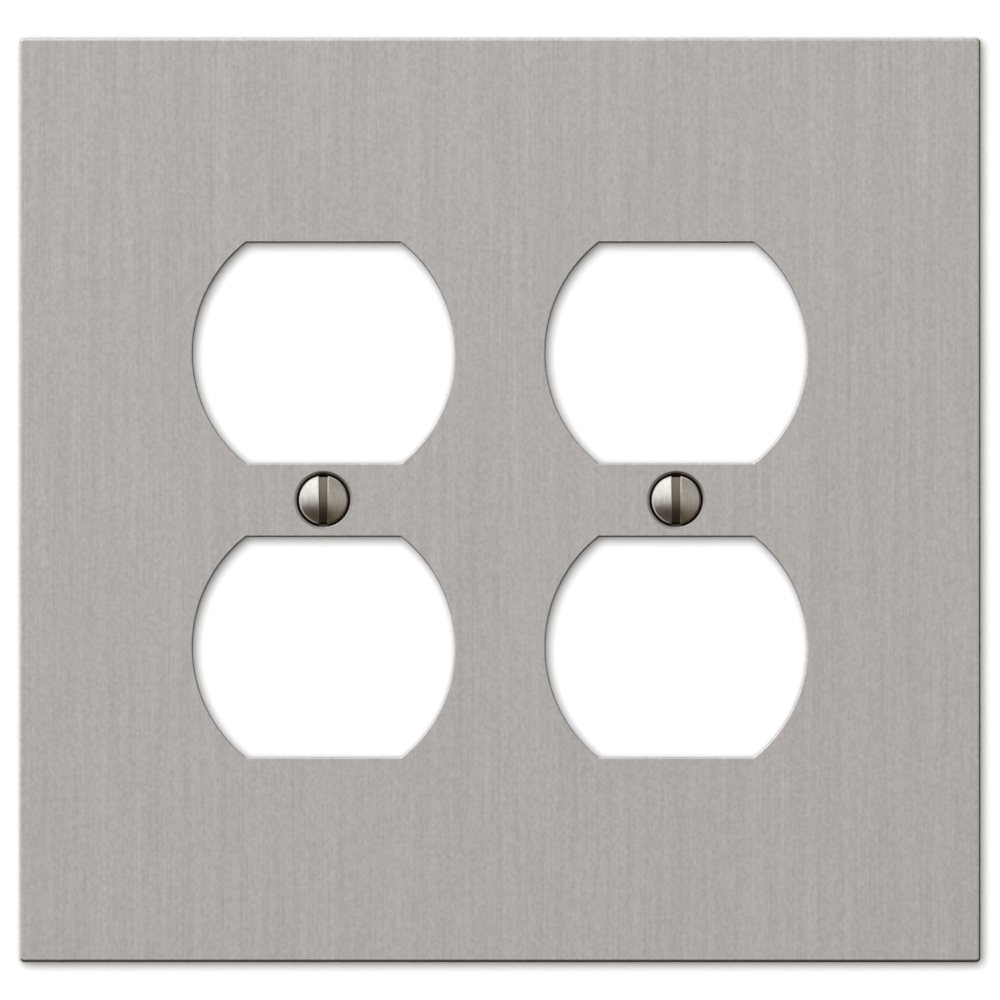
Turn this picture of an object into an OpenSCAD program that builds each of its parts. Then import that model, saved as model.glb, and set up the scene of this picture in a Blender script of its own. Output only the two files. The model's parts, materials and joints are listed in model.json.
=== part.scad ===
// Two-gang duplex wall plate cover: a cast metal cover with four receptacle
// openings, held to the wall by two slotted oval-head screws.
//
// Frame: the cover stands upright on a wall. X is the width, +Z is up, and the
// front faces -Y. The origin is the centre of the cover in the plane of the wall,
// so the back rim lies on Y = 0. Each piece is drawn lying on its back, with the
// wall at Z = 0, and stand_up() then turns it into that frame.

/* [Cover] */
// Overall width
plate_w = 125.5; // [124:0.1:140]
// Overall height
plate_h = 120.7; // [114:0.1:135]
// Depth from the wall to the front face
plate_depth = 5.5; // [5:0.1:6.5]
// Thickness of the front face
face_t = 2; // [1.9:0.05:2.3]
// Thickness of the rim that stands on the wall
rim_t = 2.4; // [1.5:0.1:4]
// Radius of the rounded front edges
edge_r = 0.42; // [0.3:0.02:0.6]
// Radius of the four outer corners, seen from the front
corner_r = 0.6; // [0.4:0.05:1.5]
// Radius of the inside corners of the hollow back
hollow_corner_r = 2; // [1:0.1:3]

/* [Receptacle openings] */
// Distance between the two gangs, centre to centre
gang_pitch = 46.04; // [46:0.01:46.1]
// Distance between the upper and lower opening of a gang, centre to centre
opening_pitch = 38.4; // [38.1:0.05:38.9]
// Width of an opening across its two round sides
opening_w = 34.1; // [33.9:0.05:34.5]
// Height of an opening between its two flats
opening_h = 28.7; // [28.3:0.05:29]
// Radius of the two round sides
opening_arc_r = 18.25; // [17.35:0.1:18.75]
// Width of the broken front edge of an opening
opening_break = 0.25; // [0.1:0.05:0.4]

/* [Countersunk screw holes] */
// Mouth of the countersink on the front face
sink_mouth_d = 7.3; // [7.2:0.05:7.5]
// Clearance hole for the screw's shank
hole_d = 4.1; // [3.9:0.05:4.3]
// Diameter of the boss behind each hole
boss_d = 8.2; // [7.8:0.1:8.6]
// Height of the boss above the back of the front face
boss_h = 1; // [0.6:0.1:1.2]

/* [Screws] */
// Diameter of the head at its rim
head_d = 6.4; // [6.2:0.05:6.6]
// Height of the domed top above the rim
dome_h = 1.05; // [0.8:0.05:1.2]
// Height of the straight land at the rim
land_h = 0.1; // [0.05:0.01:0.2]
// Outer diameter of the thread
thread_d = 3.505; // [3.45:0.005:3.505]
// Diameter of the plain neck between the head and the thread
neck_d = 2.95; // [2.7:0.05:3.1]
// Length from the head's rim to the tip
screw_length = 12.7; // [9.5:0.1:16]
// Width of the driver slot
slot_w = 1.1; // [1:0.05:1.2]
// Depth of the driver slot below the crown of the dome
slot_depth = 1.4; // [1.2:0.05:1.5]

/* [Hidden] */
$fn = 96;

sink_angle = 96;                    // full angle of the countersink, wider than the head's cone
sink_slope = tan(sink_angle / 2);   // radius that the countersink loses for each millimetre of depth
head_angle = 82;                    // full angle of the cone under the head
head_slope = tan(head_angle / 2);   // radius that the head's cone loses for each millimetre of depth
seat_gap = 0.03;                    // air left along the axis between the head and its seat
neck_proud = 0.3;                   // how far the neck runs on past the back of the boss
tip_chamfer = 0.5;                  // chamfer at the screw's tip
cut_over = 1;                       // how far a cutter runs past the metal

arc_offset = opening_arc_r - opening_w / 2;      // a round side is centred this far past the middle
hollow_depth = plate_depth - face_t;
boss_back_z = hollow_depth - boss_h;
sink_depth = (sink_mouth_d - hole_d) / 2 / sink_slope;

// The head sinks until its cone nearly meets the edge at the bottom of the countersink
rim_z = plate_depth - sink_depth + (head_d - hole_d) / 2 / head_slope + seat_gap;
cone_h = (head_d - neck_d) / 2 / head_slope;
thread_top_z = boss_back_z - neck_proud;
tip_z = rim_z - screw_length;
crown_z = rim_z + land_h + dome_h;
dome_r = (pow(head_d / 2, 2) + pow(dome_h, 2)) / (2 * dome_h);

satin_nickel = [0.69, 0.68, 0.665];
bright_nickel = [0.62, 0.59, 0.56];

// Turns a piece that lies on its back to stand against the wall
module stand_up() {
    rotate([90, 0, 0]) children();
}

// A rectangle with round corners, centred
module round_rect(w, h, r) {
    square([w, h - 2 * r], center = true);
    square([w - 2 * r, h], center = true);
    for (x = [-1, 1]) for (y = [-1, 1])
        translate([x * (w / 2 - r), y * (h / 2 - r)]) circle(r = r);
}

// The cover's outer block on Z = 0, with round corners and round front edges
module outer_block() {
    below = edge_r + cut_over;
    profile_h = plate_depth + below;
    intersection() {
        linear_extrude(plate_depth) round_rect(plate_w, plate_h, corner_r);
        translate([0, plate_h / 2, 0]) rotate([90, 0, 0]) linear_extrude(plate_h)
            translate([0, profile_h / 2 - below]) round_rect(plate_w, profile_h, edge_r);
        translate([-plate_w / 2, 0, 0]) rotate([90, 0, 90]) linear_extrude(plate_w)
            translate([0, profile_h / 2 - below]) round_rect(plate_h, profile_h, edge_r);
    }
}

// The outline of one opening: two round sides and two flats
module opening_outline() {
    intersection() {
        translate([arc_offset, 0]) circle(r = opening_arc_r);
        translate([-arc_offset, 0]) circle(r = opening_arc_r);
        square([opening_w + cut_over, opening_h], center = true);
    }
}

// One of the two cones that widen the round sides towards the front
module flare_cone(x, rise) {
    translate([x, 0, 0]) cylinder(r1 = opening_arc_r, r2 = opening_arc_r + rise, h = rise);
}

// The opening's outline widening at 45 degrees, to break its front edge
module opening_flare() {
    rise = opening_break + cut_over;
    flat = opening_h / 2;
    reach = opening_w + 2 * rise;
    intersection() {
        flare_cone(arc_offset, rise);
        flare_cone(-arc_offset, rise);
        translate([-reach / 2, 0, 0]) rotate([90, 0, 90]) linear_extrude(reach)
            polygon([[-flat, 0], [flat, 0], [flat + rise, rise], [-flat - rise, rise]]);
    }
}

// Everything that one gang cuts out of the cover: two openings and a screw hole
module gang_cutters() {
    for (side = [-1, 1]) translate([0, side * opening_pitch / 2, 0]) {
        linear_extrude(plate_depth + cut_over) opening_outline();
        translate([0, 0, plate_depth - opening_break]) opening_flare();
    }
    translate([0, 0, boss_back_z - cut_over])
        cylinder(d = hole_d, h = face_t + boss_h + 2 * cut_over);
    translate([0, 0, plate_depth - sink_depth])
        cylinder(
            d1 = hole_d,
            d2 = sink_mouth_d + 2 * cut_over * sink_slope,
            h = sink_depth + cut_over
        );
}

// Places a shape at the centre of each gang
module at_gangs() {
    for (side = [-1, 1]) translate([side * gang_pitch / 2, 0, 0]) children();
}

module face_plate() {
    color(satin_nickel) stand_up() difference() {
        union() {
            difference() {
                outer_block();
                translate([0, 0, -cut_over]) linear_extrude(hollow_depth + cut_over)
                    round_rect(plate_w - 2 * rim_t, plate_h - 2 * rim_t, hollow_corner_r);
            }
            at_gangs() translate([0, 0, boss_back_z]) cylinder(d = boss_d, h = boss_h + face_t / 4);
        }
        at_gangs() gang_cutters();
    }
}

// The screw's outline from tip to crown, as one turned solid
module turned_screw() {
    rotate_extrude() polygon([
        [0, tip_z],
        [thread_d / 2 - tip_chamfer, tip_z],
        [thread_d / 2, tip_z + tip_chamfer],
        [thread_d / 2, thread_top_z],
        [neck_d / 2, thread_top_z],
        [neck_d / 2, rim_z - cone_h],
        [head_d / 2, rim_z],
        [head_d / 2, rim_z + land_h],
        [0, rim_z + land_h]
    ]);
}

// The slotted oval-head screw, on its own axis
module screw() {
    color(bright_nickel) difference() {
        union() {
            turned_screw();
            intersection() {
                translate([0, 0, crown_z - dome_r]) sphere(r = dome_r);
                translate([0, 0, rim_z]) cylinder(d = head_d, h = land_h + dome_h + cut_over);
            }
        }
        translate([-slot_w / 2, -head_d, crown_z - slot_depth])
            cube([slot_w, 2 * head_d, slot_depth + cut_over]);
    }
}

module left_screw() {
    stand_up() translate([-gang_pitch / 2, 0, 0]) screw();
}

module right_screw() {
    stand_up() translate([gang_pitch / 2, 0, 0]) screw();
}

face_plate();
left_screw();
right_screw();
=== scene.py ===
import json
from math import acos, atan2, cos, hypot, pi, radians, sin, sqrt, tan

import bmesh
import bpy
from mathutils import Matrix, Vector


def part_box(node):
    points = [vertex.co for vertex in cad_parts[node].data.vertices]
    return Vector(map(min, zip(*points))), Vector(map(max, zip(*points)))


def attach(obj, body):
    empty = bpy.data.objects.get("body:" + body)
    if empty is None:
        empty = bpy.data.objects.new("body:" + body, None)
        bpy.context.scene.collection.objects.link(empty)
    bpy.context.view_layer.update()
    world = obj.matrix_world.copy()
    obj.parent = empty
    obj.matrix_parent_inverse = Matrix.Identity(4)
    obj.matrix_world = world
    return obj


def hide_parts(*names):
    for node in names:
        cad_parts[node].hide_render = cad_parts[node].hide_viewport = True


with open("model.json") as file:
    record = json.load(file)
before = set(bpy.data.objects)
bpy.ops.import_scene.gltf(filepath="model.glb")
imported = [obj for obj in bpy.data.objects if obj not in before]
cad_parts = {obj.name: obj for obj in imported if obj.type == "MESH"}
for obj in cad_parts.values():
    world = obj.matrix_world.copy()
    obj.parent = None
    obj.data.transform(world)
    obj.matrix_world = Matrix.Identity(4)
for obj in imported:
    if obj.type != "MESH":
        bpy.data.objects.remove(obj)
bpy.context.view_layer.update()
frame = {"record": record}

# Visual model of a two-gang duplex wall plate cover: the cast cover with its brushed face,
# and its two slotted oval-head screws with real threads.
#
# Every shape is drawn as if it lay on its back: u runs across, v runs up the wall, and h is
# the height above the wall plane. In the frame that is X, Z and -Y. Lengths are in metres.

MM = 0.001
INCH = 25.4 * MM
QUARTER = pi / 2

# ---------------------------------------------------------------- sizes from the frame

mounts = {m["name"]: m for m in frame["record"]["mounts"]}
plate_low, plate_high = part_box("face_plate")
PLATE_W = plate_high.x - plate_low.x
PLATE_H = plate_high.z - plate_low.z
FACE = -plate_low.y  # height of the front face above the wall
GANG_X = mounts["screw_pattern"]["dims"]["spacing_x_mm"] * MM / 2
OPENING_V = mounts["upper_left_opening"]["pos_m"][2]
THREAD_R = mounts["screw_pattern"]["dims"]["stud_r_mm"] * MM
screw_low, screw_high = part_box("left_screw")
CROWN = -screw_low.y
TIP = -screw_high.y
HEAD_R = (screw_high.x - screw_low.x) / 2

# ---------------------------------------------------------------- sizes of the details

EDGE_R = 0.42 * MM  # roll of the cover's outer front edge
CORNER_R = 0.6 * MM  # the cover's four corners, seen from the front
FACE_T = 2 * MM
RIM_T = 2.4 * MM
HOLLOW_CORNER_R = 2 * MM
HOLLOW_DRAFT = 0.12 * MM
HOLLOW_FILLET = 0.7 * MM
BACK_BREAK = 0.15 * MM  # small roundings on the unseen edges

OPENING_W = 34.1 * MM
OPENING_H = 28.7 * MM
OPENING_ARC_R = 18.25 * MM
OPENING_CORNER_R = 0.25 * MM
OPENING_EDGE_R = 0.25 * MM

SINK_HALF_ANGLE = radians(48)
SINK_R = 3.65 * MM
SINK_LIP_R = 0.5 * MM
HOLE_R = 2.05 * MM
BOSS_R = 4.1 * MM
BOSS_H = 1 * MM
BOSS_FILLET = 0.3 * MM

PIN_MARK_R = 2.5 * MM  # shallow discs that the ejector pins leave in a casting's back
PIN_MARK_DEPTH = 0.08 * MM
PIN_MARK_INSET = 10 * MM  # from the cover's outline to the middle of the outer marks

HEAD_HALF_ANGLE = radians(41)
DOME_H = 1.05 * MM
LAND_H = 0.1 * MM
RIM_ROUND = 0.05 * MM
RIM_BREAK_UP = 0.02 * MM  # the broken edge between the head's land and its cone
RIM_BREAK_DOWN = 0.01 * MM
RIM_BREAK_IN = 0.015 * MM
NECK_R = 1.475 * MM
NECK_FILLET = 0.25 * MM
NECK_PAST_BOSS = 0.3 * MM  # how far the plain neck runs on behind the boss
SLOT_W = 1.1 * MM
SLOT_DEPTH = 1.4 * MM
SLOT_ROUND = 0.07 * MM
BULGE_V = 0.5 * MM  # how far above the screw's axis the slot floor's bulge is centred
THREAD_PITCH = INCH / 32
THREAD_DEPTH = 0.6134 * THREAD_PITCH
# The shares of a turn at which the thread's crest, its falling flank and its root end.
CREST, FOOT, RISE = 1 / 8, 7 / 16, 11 / 16
TIP_CHAMFER = 0.5 * MM

HOLLOW = FACE - FACE_T
BOSS_BACK = HOLLOW - BOSS_H
RIM = CROWN - DOME_H - LAND_H  # height of the screw head's widest point

EDGE_STEPS = 8  # steps along the outer roll
OPENING_STEPS = 6  # steps along an opening's roll
BREAK_STEPS = 3  # steps along a small rounding
DOME_STEPS = 18
DOME_BUNCHING = 1.3  # crowds the dome's rows towards the slot
WELD = 1e-4 * MM  # points closer than this are one point
NO_ARC = 1e-4  # an arc under this half angle is one point
LEVEL = radians(3)  # a face tilted by less than this counts as level, or as upright
COVER_SHARP = radians(35)
SCREW_SHARP = radians(32)


# ---------------------------------------------------------------- mesh tools


class Shell:
    """One closed mesh, built from rings of points that lie at one height or follow a profile."""

    def __init__(self):
        self.bm = bmesh.new()

    def ring(self, outline, h):
        return [self.bm.verts.new((u, -h, v)) for u, v in outline]

    def band(self, a, b, slot=0):
        """Quads between two rings with the same number of points."""
        self.quads(a + a[:1], b + b[:1], slot)

    def quads(self, a, b, slot=0):
        """Quads between two open rows of points."""
        for i in range(len(a) - 1):
            corners = [a[i], a[i + 1], b[i + 1], b[i]]
            unique = [c for k, c in enumerate(corners) if c not in corners[:k]]
            if len(unique) > 2:
                self.face(unique, slot)

    def face(self, points, slot=0):
        self.bm.faces.new(points).material_index = slot

    def stack(self, rings, slot=0):
        """Bands between each ring and the next."""
        for a, b in zip(rings, rings[1:]):
            self.band(a, b, slot)

    def fill(self, rings, slot=0):
        """Fills the flat area between one outer ring and the rings inside it."""
        edges = []
        for ring in rings:
            for a, b in zip(ring, ring[1:] + ring[:1]):
                edges.append(self.bm.edges.get((a, b)) or self.bm.edges.new((a, b)))
        made = bmesh.ops.triangle_fill(self.bm, edges=edges, use_beauty=True, use_dissolve=False)
        for item in made["geom"]:
            if isinstance(item, bmesh.types.BMFace):
                item.material_index = slot

    def finish(self, name, materials, sharp_angle):
        """Closes the mesh, turns its faces outwards and makes the object."""
        bmesh.ops.remove_doubles(self.bm, verts=self.bm.verts, dist=WELD)
        bmesh.ops.dissolve_degenerate(self.bm, edges=self.bm.edges, dist=WELD)
        bmesh.ops.recalc_face_normals(self.bm, faces=self.bm.faces)
        open_edges = [e for e in self.bm.edges if len(e.link_faces) != 2]
        if open_edges:
            raise ValueError(f"{name} has {len(open_edges)} edges that don't join two faces")
        mesh = bpy.data.meshes.new(name)
        self.bm.to_mesh(mesh)
        self.bm.free()
        mesh.shade_smooth()
        mesh.set_sharp_from_angle(angle=sharp_angle)
        blend_normals(mesh, sharp_angle)
        for m in materials:
            mesh.materials.append(m)
        made = bpy.data.objects.new(name, mesh)
        bpy.context.scene.collection.objects.link(made)
        return made


def blend_normals(mesh, sharp_angle):
    """Keeps level faces and straight walls evenly shaded, right up to the roundings next to them."""
    leading = {}
    for face in mesh.polygons:
        tilt = acos(min(1, abs(face.normal.y)))
        if min(tilt, QUARTER - tilt) < LEVEL:
            for v in face.vertices:
                leading.setdefault(v, []).append(face.normal.copy())
    normals = [corner.vector.copy() for corner in mesh.corner_normals]
    for face in mesh.polygons:
        for loop in face.loop_indices:
            around = leading.get(mesh.loops[loop].vertex_index, [])
            near = [normal for normal in around if normal.dot(face.normal) > cos(sharp_angle)]
            if near:
                normals[loop] = sum(near, Vector()).normalized()
    mesh.normals_split_custom_set(normals)


def steps(low, high, n):
    """n + 1 evenly spaced values from low to high."""
    return [low + (high - low) * i / n for i in range(n + 1)]


def quarter_round(r, n):
    """(distance still to go sideways, drop) along a quarter circle, from the flat to the wall."""
    return [(r * (1 - sin(a)), r * (1 - cos(a))) for a in steps(0, QUARTER, n)]


def circle(r, n, u0=0.0, v0=0.0):
    return [(u0 + r * cos(2 * pi * i / n), v0 + r * sin(2 * pi * i / n)) for i in range(n)]


def mirror_quarter(quarter):
    """A closed outline from the points of its upper right quarter, which starts on the u axis."""
    back = [(-u, v) for u, v in reversed(quarter)]
    below = [(-u, -v) for u, v in quarter[1:]]
    home = [(u, -v) for u, v in reversed(quarter[1:])]
    return quarter + back + below + home


def rectangle(inset, corner_r, n=8):
    """The cover's outline, moved in by inset, with round corners."""
    u, v = PLATE_W / 2 - inset - corner_r, PLATE_H / 2 - inset - corner_r
    arc = [(u + corner_r * cos(a), v + corner_r * sin(a)) for a in steps(0, QUARTER, n)]
    return mirror_quarter([(u + corner_r, 0)] + arc)


def opening(grow, u0, v0, n_side=28, n_corner=5):
    """An opening's outline, moved out by grow, centred on (u0, v0)."""
    past = OPENING_ARC_R - OPENING_W / 2  # each side's arc is centred this far past the middle
    corner_v = OPENING_H / 2 - OPENING_CORNER_R
    reach = sqrt((OPENING_ARC_R - OPENING_CORNER_R) ** 2 - corner_v**2)
    turn = atan2(corner_v, reach)
    side_r = OPENING_ARC_R + grow
    corner_r = OPENING_CORNER_R + grow
    side = [(side_r * cos(a) - past, side_r * sin(a)) for a in steps(0, turn, n_side)]
    corner = [
        (reach - past + corner_r * cos(a), corner_v + corner_r * sin(a))
        for a in steps(turn, QUARTER, n_corner)
    ]
    return [(u0 + u, v0 + v) for u, v in mirror_quarter(side + corner[1:])]


# ---------------------------------------------------------------- the cover

FRONT, ROLL, SIDE_U, SIDE_V, BACK, CUT, SINK = range(7)  # the cover's material slots


def outer_wall(shell):
    """From the front face's edge, round the outside and the rim, to the floor of the hollow."""
    rings = []
    for inset, drop in quarter_round(EDGE_R, EDGE_STEPS):
        rings.append(shell.ring(rectangle(inset, CORNER_R - inset), FACE - drop))
    for inset, drop in reversed(quarter_round(BACK_BREAK, BREAK_STEPS)):
        rings.append(shell.ring(rectangle(inset, CORNER_R - inset), drop))
    shell.stack(rings[: EDGE_STEPS + 1], ROLL)
    shell.stack(rings[EDGE_STEPS:], SIDE_U)

    rim = [rings[-1]]
    for inset, drop in quarter_round(BACK_BREAK, BREAK_STEPS):
        rim.append(shell.ring(rectangle(RIM_T - inset, HOLLOW_CORNER_R + inset), drop))
    floor_inset = RIM_T + HOLLOW_DRAFT + HOLLOW_FILLET
    for gone, rise in reversed(quarter_round(HOLLOW_FILLET, 6)):
        inset = floor_inset - gone
        rim.append(shell.ring(rectangle(inset, HOLLOW_CORNER_R - HOLLOW_DRAFT), HOLLOW - rise))
    shell.stack(rim, BACK)
    return rings[0], rim[-1]


def receptacle_opening(shell, u0, v0):
    """The rolled front edge, the wall and the back edge of one opening."""
    rings = []
    for grow, drop in quarter_round(OPENING_EDGE_R, OPENING_STEPS):
        rings.append(shell.ring(opening(grow, u0, v0), FACE - drop))
    for grow, drop in reversed(quarter_round(BACK_BREAK, BREAK_STEPS)):
        rings.append(shell.ring(opening(grow, u0, v0), HOLLOW + drop))
    shell.stack(rings[: OPENING_STEPS + 1], ROLL)
    shell.stack(rings[OPENING_STEPS:], CUT)
    return rings[0], rings[-1]


def screw_hole(shell, u0, n=96):
    """The rolled lip, the countersink, the hole and the boss behind it."""
    turn = QUARTER - SINK_HALF_ANGLE
    lip_start = SINK_R + SINK_LIP_R * tan(turn / 2)
    profile = [
        (lip_start - SINK_LIP_R * sin(a), FACE - SINK_LIP_R * (1 - cos(a)))
        for a in steps(0, turn, 6)
    ]
    lip = len(profile)
    sink_h = (SINK_R - HOLE_R) / tan(SINK_HALF_ANGLE)
    profile.append((HOLE_R, FACE - sink_h))
    profile += [
        (HOLE_R + gone, BOSS_BACK + rise)
        for gone, rise in reversed(quarter_round(BACK_BREAK, 2))
    ]
    sink = len(profile)
    profile += [
        (BOSS_R - gone, BOSS_BACK + rise) for gone, rise in quarter_round(BACK_BREAK, BREAK_STEPS)
    ]
    profile += [
        (BOSS_R + BOSS_FILLET - gone, HOLLOW - rise)
        for gone, rise in reversed(quarter_round(BOSS_FILLET, 4))
    ]
    rings = [shell.ring(circle(r, n, u0), h) for r, h in profile]
    shell.stack(rings[:lip], CUT)
    # The countersink's cone takes the SINK slot, whose material is darkened with painted shade.
    shell.stack(rings[lip - 1 : sink], SINK)
    shell.stack(rings[sink - 1 :], BACK)
    return rings[0], rings[-1]


def pin_mark(shell, u0, v0, n=48):
    """A shallow disc pressed into the back."""
    edge = shell.ring(circle(PIN_MARK_R, n, u0, v0), HOLLOW)
    foot = shell.ring(circle(PIN_MARK_R - PIN_MARK_DEPTH, n, u0, v0), HOLLOW + PIN_MARK_DEPTH)
    shell.band(edge, foot, BACK)
    shell.face(foot, BACK)
    return edge


def build_cover(materials):
    shell = Shell()
    front_edge, back_edge = outer_wall(shell)
    fronts, backs = [front_edge], [back_edge]
    for side in (-1, 1):
        for level in (-1, 1):
            front, back = receptacle_opening(shell, side * GANG_X, level * OPENING_V)
            fronts.append(front)
            backs.append(back)
        front, back = screw_hole(shell, side * GANG_X)
        fronts.append(front)
        backs.append(back)
    far_u, far_v = PLATE_W / 2 - PIN_MARK_INSET, PLATE_H / 2 - PIN_MARK_INSET
    marks = [(u, v) for u in (-far_u, 0, far_u) for v in (-far_v, 0, far_v) if u or v]
    for u, v in marks + [(0, OPENING_V), (0, -OPENING_V)]:
        backs.append(pin_mark(shell, u, v))
    shell.fill(fronts, FRONT)
    shell.fill(backs, BACK)
    cover = shell.finish("cover", materials, COVER_SHARP)
    for face in cover.data.polygons:
        if face.material_index == SIDE_U and abs(face.normal.z) > abs(face.normal.x):
            face.material_index = SIDE_V
    return cover


# ---------------------------------------------------------------- the screws


def head_rows(slot_floor):
    """The head's profile from the slot's edge out to the rim and in again down to the slot's floor.

    Each row is (radius, height, outward part of the normal, upward part of the normal)."""
    dome_r = (HEAD_R**2 + DOME_H**2) / (2 * DOME_H)
    inner = SLOT_W / 2 + SLOT_ROUND
    rows = []
    for share in steps(0, 1, DOME_STEPS):
        r = inner + (HEAD_R - RIM_ROUND - inner) * share**DOME_BUNCHING
        fall = sqrt(dome_r**2 - r**2)
        rows.append((r, CROWN - dome_r + fall, r / dome_r, fall / dome_r))
    top = RIM + LAND_H
    for degrees in (55, 35, 12):  # down the rim's rounding, as angles above the horizontal
        tilt = radians(degrees)
        r = HEAD_R - RIM_ROUND * (1 - cos(tilt))
        rows.append((r, top - RIM_ROUND * (1 - sin(tilt)), cos(tilt), sin(tilt)))
    rows.append((HEAD_R, RIM + RIM_BREAK_UP, 1, 0))
    half = HEAD_HALF_ANGLE / 2
    rows.append((HEAD_R - RIM_BREAK_IN, RIM - RIM_BREAK_DOWN, cos(half), -sin(half)))
    floor_r = HEAD_R - (RIM - slot_floor) * tan(HEAD_HALF_ANGLE)
    rows.append((floor_r, slot_floor, cos(HEAD_HALF_ANGLE), -sin(HEAD_HALF_ANGLE)))
    return rows


def build_head(shell, slot_floor, n_arc=44, n_round=3, n_end=4):
    """The slotted head down to the level of the slot's floor. Gives the ring it ends on."""
    rows = head_rows(slot_floor)
    inner = SLOT_W / 2 + SLOT_ROUND
    ends = {}
    ring = []
    for side in (1, -1):
        arcs, walls = [], {1: [], -1: []}
        for r, h, n_out, n_up in rows:
            limit = acos(min(1, inner / r))
            if limit < NO_ARC:
                arcs.append([shell.bm.verts.new((side * r, -h, 0))] * (n_arc + 1))
            else:
                arcs.append(
                    [
                        shell.bm.verts.new((side * r * cos(a), -h, side * r * sin(a)))
                        for a in steps(-limit, limit, n_arc)
                    ]
                )
            for end in (1, -1):
                start = arcs[-1][-1 if end > 0 else 0]
                if limit < NO_ARC and end < 0:
                    walls[-1].append(walls[1][-1])
                    continue
                chain = [start]
                for gone, drop in quarter_round(SLOT_ROUND, n_round)[1:]:
                    u = SLOT_W / 2 + gone
                    if h == slot_floor:
                        v, hh = sqrt(r**2 - u**2), h
                    else:
                        size = hypot(n_out * sin(limit), n_up) or 1
                        v = r * sin(limit) - drop * n_out * sin(limit) / size
                        hh = h - drop * n_up / size
                    chain.append(shell.bm.verts.new((side * u, -hh, side * end * v)))
                walls[end].append(chain)
        for a, b in zip(arcs, arcs[1:]):
            shell.quads(a, b)
        for end in (1, -1):
            for a, b in zip(walls[end], walls[end][1:]):
                shell.quads(a, b)
        outline = [chain[-1] for chain in reversed(walls[1])]
        outline += [chain[-1] for chain in walls[-1][1:]]
        # The slot's flat side wall takes the screw's second material, which is darkened with painted
        # shade.
        shell.face(outline, 1)
        ends[side] = (walls[-1][-1], arcs[-1], walls[1][-1])
    floor = []
    for side in (1, -1):
        low, arc, high = ends[side]
        r = rows[-1][0]
        a0 = acos(SLOT_W / 2 / r)
        half_turn = 0 if side > 0 else pi
        bridge = [
            shell.bm.verts.new((r * cos(a + half_turn), -slot_floor, r * sin(a + half_turn)))
            for a in steps(a0, pi - a0, n_end)[1:-1]
        ]
        ring += list(reversed(low[1:])) + arc + high[1:] + bridge
        floor += [low[-1], high[-1]] + bridge
    # The slot's floor takes the same second material, darkened with painted shade.
    shell.face(floor, 1)
    return ring


def thread_radius(h, phase, top):
    """The thread's radius at height h, where phase is the share of a turn along its profile."""
    if phase <= CREST:
        depth = 0
    elif phase < FOOT:
        depth = (phase - CREST) / (FOOT - CREST)
    elif phase <= RISE:
        depth = 1
    else:
        depth = 1 - (phase - RISE) / (1 - RISE)
    r = THREAD_R - THREAD_DEPTH * depth
    fade = min(1, max(0, (top - h) / THREAD_PITCH))
    r = NECK_R + (r - NECK_R) * fade
    return min(r, THREAD_R - TIP_CHAMFER + (h - TIP))


def build_thread(shell, ring, top):
    """A right-hand thread below ring, whose grid lines run along the helix."""
    angles = [atan2(p.co.z, p.co.x) for p in ring]
    turns = [((a - angles[0]) % (2 * pi)) / (2 * pi) for a in angles]
    phases = [0, CREST, (CREST + FOOT) / 2, FOOT, RISE, (RISE + 1) / 2]
    per_turn = len(phases)
    n_turns = int((top - TIP) / THREAD_PITCH) + 3
    columns = []
    for a, turn in zip(angles, turns):
        column = []
        for row in range(n_turns * per_turn):
            phase = phases[row % per_turn]
            h = TIP + THREAD_PITCH * (row // per_turn + phase + turn - 1)
            h = min(top, max(TIP, h))
            r = thread_radius(h, phase, top)
            column.append(shell.bm.verts.new((r * cos(a), -h, r * sin(a))))
        columns.append(column)
    for a, b in zip(columns, columns[1:]):
        shell.quads(a, b)
    last, first = columns[-1], columns[0]
    shell.quads(last[: len(last) - per_turn], first[per_turn:])
    shell.face([column[0] for column in columns])


def build_screw(name, u0, materials):
    shell = Shell()
    slot_floor = CROWN - SLOT_DEPTH
    ring = build_head(shell, slot_floor)
    neck_h = RIM - (HEAD_R - NECK_R) / tan(HEAD_HALF_ANGLE)
    thread_top = BOSS_BACK - NECK_PAST_BOSS
    rows = [
        (NECK_R + NECK_FILLET, neck_h + NECK_FILLET / tan(HEAD_HALF_ANGLE)),
        (NECK_R + NECK_FILLET * 0.3, neck_h + NECK_FILLET * 0.35),
        (NECK_R, neck_h - NECK_FILLET * 0.4),
        (NECK_R, thread_top),
    ]
    rings = [ring]
    for r, h in rows:
        angles = [atan2(p.co.z, p.co.x) for p in ring]
        rings.append([shell.bm.verts.new((r * cos(a), -h, r * sin(a))) for a in angles])
    shell.stack(rings)
    build_thread(shell, ring, thread_top)
    made = shell.finish(name, materials, SCREW_SHARP)
    made.location.x = u0
    return made


# ---------------------------------------------------------------- material tools


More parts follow.
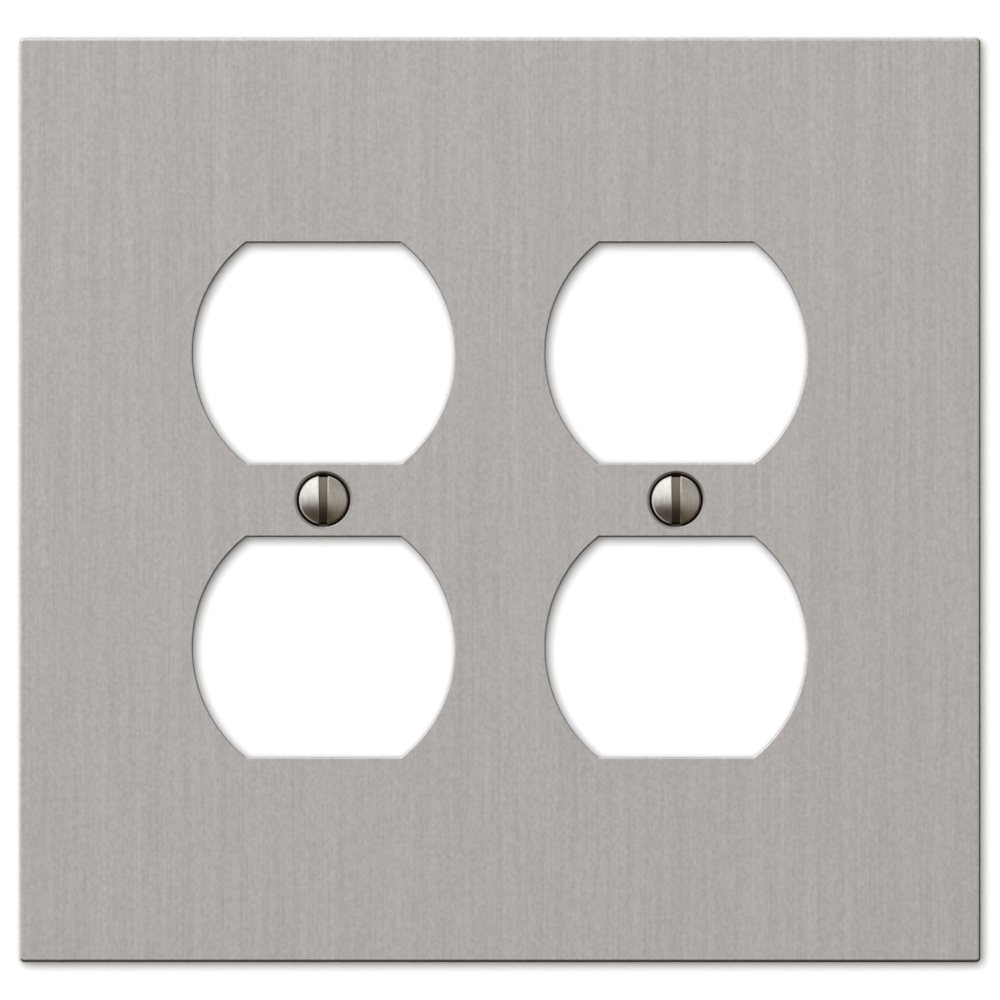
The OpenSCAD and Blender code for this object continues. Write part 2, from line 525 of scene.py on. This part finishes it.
class Nodes:
    """Short calls for one material's node tree."""

    def __init__(self, tree):
        self.tree = tree
        tree.nodes.clear()

    def add(self, kind, inputs=None, **settings):
        node = self.tree.nodes.new(kind)
        for key, value in settings.items():
            setattr(node, key, value)
        for key, value in (inputs or {}).items():
            if isinstance(value, bpy.types.NodeSocket):
                self.tree.links.new(value, node.inputs[key])
            else:
                node.inputs[key].default_value = value
        return node

    def math(self, operation, a, b=0.0):
        return self.add("ShaderNodeMath", {0: a, 1: b}, operation=operation).outputs[0]

    def scaled(self, value, factor, base):
        """value times factor, plus base."""
        inputs = {0: value, 1: factor, 2: base}
        return self.add("ShaderNodeMath", inputs, operation="MULTIPLY_ADD").outputs[0]

    def share(self, value, low, high):
        """0 where value is at low or under, and 1 where it is at high or over."""
        inputs = {0: value, 1: low, 2: high}
        made = self.add("ShaderNodeMapRange", inputs, interpolation_type="SMOOTHSTEP")
        return made.outputs[0]

    def vector(self, u, v, w):
        return self.add("ShaderNodeCombineXYZ", {0: u, 1: v, 2: w}).outputs[0]

    def noise(self, point, size, detail=2.0, offset=0.0):
        """Noise in 0 to 1, centred on 0.5, whose lumps are size = (x, y, z) metres long."""
        place = self.add(
            "ShaderNodeMapping",
            {"Vector": point, "Location": (offset, offset, offset), "Scale": [1 / s for s in size]},
        )
        inputs = {"Vector": place.outputs[0], "Scale": 1.0, "Detail": detail}
        return self.add("ShaderNodeTexNoise", inputs).outputs[0]

    def around(self, value, strength):
        """Turns a 0 to 1 value into a factor around 1."""
        centred = self.math("SUBTRACT", value, 0.5)
        return self.math("ADD", self.math("MULTIPLY", centred, strength), 1.0)

    def scaled_color(self, color, factor):
        made = self.add("ShaderNodeVectorMath", {0: color, "Scale": factor}, operation="SCALE")
        return made.outputs[0]

    def tinted(self, color, tint):
        made = self.add("ShaderNodeVectorMath", {0: color, 1: tint}, operation="MULTIPLY")
        return made.outputs[0]

    def mixed(self, share, a, b):
        """Color a where share is 0, and color b where it is 1."""
        # Inputs 6 and 7 and output 2 are the node's sockets for colors.
        return self.add("ShaderNodeMix", {0: share, 6: a, 7: b}, data_type="RGBA").outputs[2]

    def metal(self, color, roughness, bump=None, anisotropy=0.0, tangent=None):
        inputs = {
            "Base Color": color,
            "Metallic": 1.0,
            "Roughness": roughness,
            "Anisotropic": anisotropy,
        }
        if bump is not None:
            inputs["Normal"] = bump
        if tangent is not None:
            inputs["Tangent"] = tangent
        surface = self.add("ShaderNodeBsdfPrincipled", inputs)
        self.add("ShaderNodeOutputMaterial", {"Surface": surface.outputs[0]})

    def bump(self, height, depth, strength=1.0):
        made = self.add("ShaderNodeBump", {"Height": height, "Distance": depth, "Strength": strength})
        return made.outputs[0]


def new_material(name):
    made = bpy.data.materials.new(name)
    made.use_nodes = True
    return made, Nodes(made.node_tree)


WARMTH = (1.0, 0.967, 0.92)  # the tint of the brushed metal, cut edges, countersinks and screws


def warm(red, green, blue):
    return tuple(value * tint for value, tint in zip((red, green, blue), WARMTH))


NICKEL = warm(0.664, 0.653, 0.66)


def brushed_nickel(name, across, along, color=NICKEL, roughness=0.36):
    """Satin nickel brushed along one axis. across and along are 0, 1 or 2 for X, Y or Z."""
    made, n = new_material(name)
    point = n.add("ShaderNodeTexCoord").outputs["Object"]

    def grain(width, length, detail=2.0, offset=0.0):
        size = [width] * 3
        size[along] = length
        return n.noise(point, size, detail, offset)

    fleck = grain(0.38 * MM, 0.5 * MM, 1.0)
    hair = grain(0.3 * MM, 14 * MM, 2.0, 5.3)
    strand = grain(1.2 * MM, 60 * MM, 2.0, 11.7)
    cloud = grain(6 * MM, 50 * MM, 2.0, 3.1)
    tone = n.math("MULTIPLY", n.around(fleck, 0.34), n.around(hair, 0.26))
    tone = n.math("MULTIPLY", tone, n.around(strand, 0.21))
    tone = n.math("MULTIPLY", tone, n.around(cloud, 0.06))
    rough = n.math("MULTIPLY", n.around(hair, 0.35), roughness)
    height = n.math("ADD", n.math("MULTIPLY", fleck, 0.3), hair)
    tangent = [0.0, 0.0, 0.0]
    tangent[across] = 1.0
    n.metal(
        n.scaled_color(color, tone),
        rough,
        n.bump(height, 0.004 * MM, 0.5),
        0.6,
        n.vector(*tangent),
    )
    return made


def cast_nickel(name, color, roughness, lump):
    """Plated casting as it leaves the mould: a dull skin with a fine orange peel."""
    made, n = new_material(name)
    point = n.add("ShaderNodeTexCoord").outputs["Object"]
    peel = n.noise(point, (lump, lump, lump), 3.0)
    stain = n.noise(point, (14 * MM, 14 * MM, 14 * MM), 4.0, 7.9)
    speck = n.noise(point, (0.15 * MM, 0.15 * MM, 0.15 * MM), 1.0, 2.2)
    tone = n.math("MULTIPLY", n.around(stain, 0.35), n.around(speck, 0.2))
    rough = n.math("MULTIPLY", n.around(stain, 0.5), roughness)
    height = n.math("ADD", peel, n.math("MULTIPLY", speck, 0.2))
    n.metal(n.scaled_color(color, tone), rough, n.bump(height, 0.03 * MM, 0.35))
    return made


def polished_nickel(name, color, roughness, bulge_r=None):
    """Warm plated steel, polished along the slot, with fine scratches.

    bulge_r makes a slot's flat floor shine as if it bulged along the slot with that radius."""
    made, n = new_material(name)
    point = n.add("ShaderNodeTexCoord").outputs["Object"]
    scratch = n.noise(point, (0.16 * MM, 0.16 * MM, 6 * MM), 2.0)
    smear = n.noise(point, (0.7 * MM, 2 * MM, 1.2 * MM), 2.0, 4.4)
    tone = n.math("MULTIPLY", n.around(scratch, 0.5), n.around(smear, 0.25))
    rough = n.math("MULTIPLY", n.around(scratch, 0.7), roughness)
    height = n.math("MULTIPLY", scratch, 0.005 * MM)
    if bulge_r:
        along = n.add("ShaderNodeSeparateXYZ", {0: point}).outputs[2]
        along = n.math("SUBTRACT", along, BULGE_V)
        drop = n.math("MULTIPLY", n.math("MULTIPLY", along, along), 0.5 / bulge_r)
        height = n.math("SUBTRACT", height, drop)
    n.metal(n.scaled_color(color, tone), rough, n.bump(height, 1.0))
    return made


# ---------------------------------------------------------------- the object

cover = build_cover(
    [
        brushed_nickel("satin_front", across=0, along=2),
        brushed_nickel("satin_roll", across=0, along=2, roughness=0.17),
        brushed_nickel("satin_side", across=1, along=2),
        brushed_nickel("satin_top", across=1, along=0),
        cast_nickel("cast_back", (0.5, 0.485, 0.465), 0.42, 0.9 * MM),
        cast_nickel("cut_edge", warm(0.45, 0.43, 0.41), 0.35, 0.4 * MM),
        # The countersink's near-black colour is painted shade: it stands in for the shadowed gap
        # between the screw head and the lip.
        cast_nickel("sink_painted_shade", warm(0.1, 0.09, 0.08), 0.35, 0.4 * MM),
    ]
)
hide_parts("face_plate")
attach(cover, "plate")

screw_metal = polished_nickel("screw_nickel", warm(0.64, 0.611, 0.582), 0.2)
# The slot's walls and floor are much darker than the head: painted shade in the slot, on the same
# plated metal.
slot_metal_painted_shade = polished_nickel("slot_nickel_painted_shade", warm(0.22, 0.186, 0.155), 0.2, bulge_r=8.5 * MM)
for side, u0 in (("left", -GANG_X), ("right", GANG_X)):
    screw = build_screw(f"{side}_oval_screw", u0, [screw_metal, slot_metal_painted_shade])
    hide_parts(f"{side}_screw")
    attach(screw, f"{side}_screw")

# ---------------------------------------------------------------- the studio

# There are two light setups. From straight ahead the cover hangs on a white wall under a soft light
# near the camera. From anywhere else it stands on a pale floor in a soft, even room.

VIEW_WIDTH = PLATE_W * 1.04  # the picture's width at the front face
CAMERA_X = 0.04 * MM
WALL_GAP = 0.05 * MM  # keeps the wall clear of the cover's rim
ROOM = 30.0  # how far the floor and the wall reach

camera_data = bpy.data.cameras.new("camera")
camera_data.lens = 700
camera_data.sensor_width = 36
camera = bpy.data.objects.new("camera", camera_data)
bpy.context.scene.collection.objects.link(camera)
bpy.context.scene.camera = camera
distance = VIEW_WIDTH * camera_data.lens / camera_data.sensor_width
camera.location = (CAMERA_X, -FACE - distance, 0)
camera.rotation_euler = (QUARTER, 0, 0)
camera_data.clip_end = 100

# Where the camera stands, in metres.
AHEAD = "abs(x) < 0.1 and y < -0.5 and abs(z) < 0.3"
ELSEWHERE = "abs(x) >= 0.1 or y >= -0.5 or abs(z) >= 0.3"


def follow_camera(owner, setting, rule):
    """Ties a setting to the camera's place (x, y, z): 1 where rule holds and 0 elsewhere."""
    driver = owner.driver_add(setting).driver
    for axis in "xyz":
        spot = driver.variables.new()
        spot.name = axis
        spot.type = "TRANSFORMS"
        spot.targets[0].id = camera
        spot.targets[0].transform_type = f"LOC_{axis.upper()}"
    driver.expression = rule


def studio_only(owner, hidden_when):
    """Keeps the metal from mirroring owner, and hides it where the rule hidden_when holds."""
    owner.visible_glossy = False
    follow_camera(owner, "hide_render", hidden_when)


def card(name, corner, along_a, along_b, material):
    """A flat rectangle from one corner along two edges."""
    corner, along_a, along_b = Vector(corner), Vector(along_a), Vector(along_b)
    corners = [corner, corner + along_a, corner + along_a + along_b, corner + along_b]
    mesh = bpy.data.meshes.new(name)
    mesh.from_pydata(corners, [], [(0, 1, 2, 3)])
    mesh.materials.append(material)
    made = bpy.data.objects.new(name, mesh)
    bpy.context.scene.collection.objects.link(made)
    return made


def paper(name, value):
    """Matt paper that fades into the backdrop far from the cover, so that no horizon shows."""
    made, n = new_material(name)
    point = n.add("ShaderNodeTexCoord").outputs["Object"]
    speck = n.noise(point, (0.4, 0.4, 0.4), 2.0)
    tone = n.scaled_color((value, value, value), n.around(speck, 0.01))
    matt = n.add("ShaderNodeBsdfDiffuse", {"Color": tone}).outputs[0]
    clear = n.add("ShaderNodeBsdfTransparent").outputs[0]
    away = n.add("ShaderNodeVectorMath", {0: point}, operation="LENGTH").outputs["Value"]
    surface = n.add("ShaderNodeMixShader", {0: n.share(away, 0.3, 1.1), 1: matt, 2: clear})
    n.add("ShaderNodeOutputMaterial", {"Surface": surface.outputs[0]})
    return made


def soft_light(name, place, size, energy):
    """A round area light that points at the middle of the cover."""
    data = bpy.data.lights.new(name, "AREA")
    data.shape = "DISK"
    data.size = size
    data.energy = energy
    made = bpy.data.objects.new(name, data)
    bpy.context.scene.collection.objects.link(made)
    made.location = place
    made.rotation_euler = Vector(place).to_track_quat("Z", "Y").to_euler()
    made.visible_camera = False
    return made


across, back, up = (2 * ROOM, 0, 0), (0, 2 * ROOM, 0), (0, 0, 2 * ROOM)
floor = card("floor", (-ROOM, -ROOM, -PLATE_H / 2), across, back, paper("pale_paper", 0.8))
studio_only(floor, hidden_when=AHEAD)
wall = card("wall", (-ROOM, WALL_GAP, -ROOM), across, up, paper("wall_paper", 0.25))
studio_only(wall, hidden_when=ELSEWHERE)
front_light = soft_light("front_light", Vector((-0.07, -1, 0.07)) * 3, size=1.2, energy=350)
studio_only(front_light, hidden_when=ELSEWHERE)
top_light = soft_light("top_light", (-0.7, -0.9, 1.4), size=1.0, energy=16)
studio_only(top_light, hidden_when=AHEAD)


def color_ramp(n, place, stops):
    """A ramp through (place, color) stops."""
    ramp = n.add("ShaderNodeValToRGB", {0: place})
    while len(ramp.color_ramp.elements) < len(stops):
        ramp.color_ramp.elements.new(0.5)
    for element, (at, color) in zip(ramp.color_ramp.elements, stops):
        element.position = at
        element.color = (*color, 1)
    return ramp.outputs[0]


def studio_world():
    """The room that the metal mirrors, and a plain pale backdrop for the camera."""
    world = bpy.data.worlds.new("studio")
    bpy.context.scene.world = world
    world.use_nodes = True
    n = Nodes(world.node_tree)
    direction = n.add("ShaderNodeTexCoord").outputs["Generated"]
    axes = n.add("ShaderNodeSeparateXYZ", {0: direction}).outputs
    height = n.scaled(axes[2], 0.5, 0.5)
    left = color_ramp(
        n,
        height,
        [
            (0.0, (0.12, 0.098, 0.07)),
            (0.2, (0.095, 0.078, 0.055)),
            (0.3, (0.15, 0.13, 0.105)),
            (0.355, (0.28, 0.25, 0.23)),
            (0.4, (0.48, 0.44, 0.42)),
            (0.45, (0.67, 0.64, 0.62)),
            (0.5, (0.82, 0.8, 0.79)),
            (0.56, (1.03, 1.01, 1.0)),
            (0.63, (1.22, 1.21, 1.2)),
            (0.72, (1.3, 1.29, 1.28)),
            (0.85, (1.4, 1.4, 1.39)),
        ],
    )
    right = color_ramp(
        n,
        height,
        [
            (0.0, (0.12, 0.1, 0.075)),
            (0.1, (0.14, 0.115, 0.07)),
            (0.25, (0.235, 0.208, 0.155)),
            (0.4, (0.43, 0.4, 0.35)),
            (0.55, (0.54, 0.51, 0.46)),
            (0.75, (0.54, 0.51, 0.46)),
            (0.87, (0.44, 0.41, 0.38)),
        ],
    )
    border = n.scaled(n.math("MINIMUM", axes[2], 0.0), 0.45, axes[0])
    dome = n.mixed(n.share(border, -0.2, 0.25), left, right)
    slant = n.scaled(axes[0], -0.405, n.scaled(axes[2], 0.295, 0.5))
    low = color_ramp(
        n,
        slant,
        [
            (0.0, (0.004, 0.003, 0.002)),
            (0.2, (0.01, 0.009, 0.008)),
            (0.35, (0.25, 0.24, 0.23)),
            (0.45, (0.6, 0.59, 0.58)),
            (0.55, (0.7, 0.69, 0.68)),
            (0.65, (0.85, 0.84, 0.83)),
            (0.75, (0.98, 0.97, 0.96)),
            (0.9, (1.1, 1.1, 1.1)),
            (1.0, (1.15, 1.15, 1.15)),
        ],
    )
    ahead = n.mixed(n.share(axes[1], -0.38, -0.12), dome, low)
    # The stops above are tones as seen on the metal, so the metal's own tint is taken out of them.
    ahead = n.tinted(ahead, tuple(1 / tint for tint in WARMTH))
    around = color_ramp(
        n,
        height,
        [
            (0.0, (0.42, 0.41, 0.4)),
            (0.35, (0.56, 0.555, 0.55)),
            (0.5, (0.68, 0.68, 0.675)),
            (0.7, (0.95, 0.95, 0.95)),
            (1.0, (1.1, 1.1, 1.1)),
        ],
    )
    around = n.scaled_color(around, n.around(n.noise(direction, (0.8, 0.8, 0.8), 0.0), 0.9))
    is_ahead = n.add("ShaderNodeValue").outputs[0]
    follow_camera(is_ahead, "default_value", AHEAD)
    room = n.mixed(is_ahead, around, ahead)
    mirrored = n.add("ShaderNodeBackground", {"Color": room, "Strength": 1.0})
    backdrop = n.add("ShaderNodeBackground", {"Color": (1, 1, 1, 1), "Strength": 0.95})
    is_camera = n.add("ShaderNodeLightPath").outputs["Is Camera Ray"]
    shaders = {0: is_camera, 1: mirrored.outputs[0], 2: backdrop.outputs[0]}
    mix = n.add("ShaderNodeMixShader", shaders)
    n.add("ShaderNodeOutputWorld", {"Surface": mix.outputs[0]})


studio_world()
bpy.context.scene.view_settings.view_transform = "Standard"
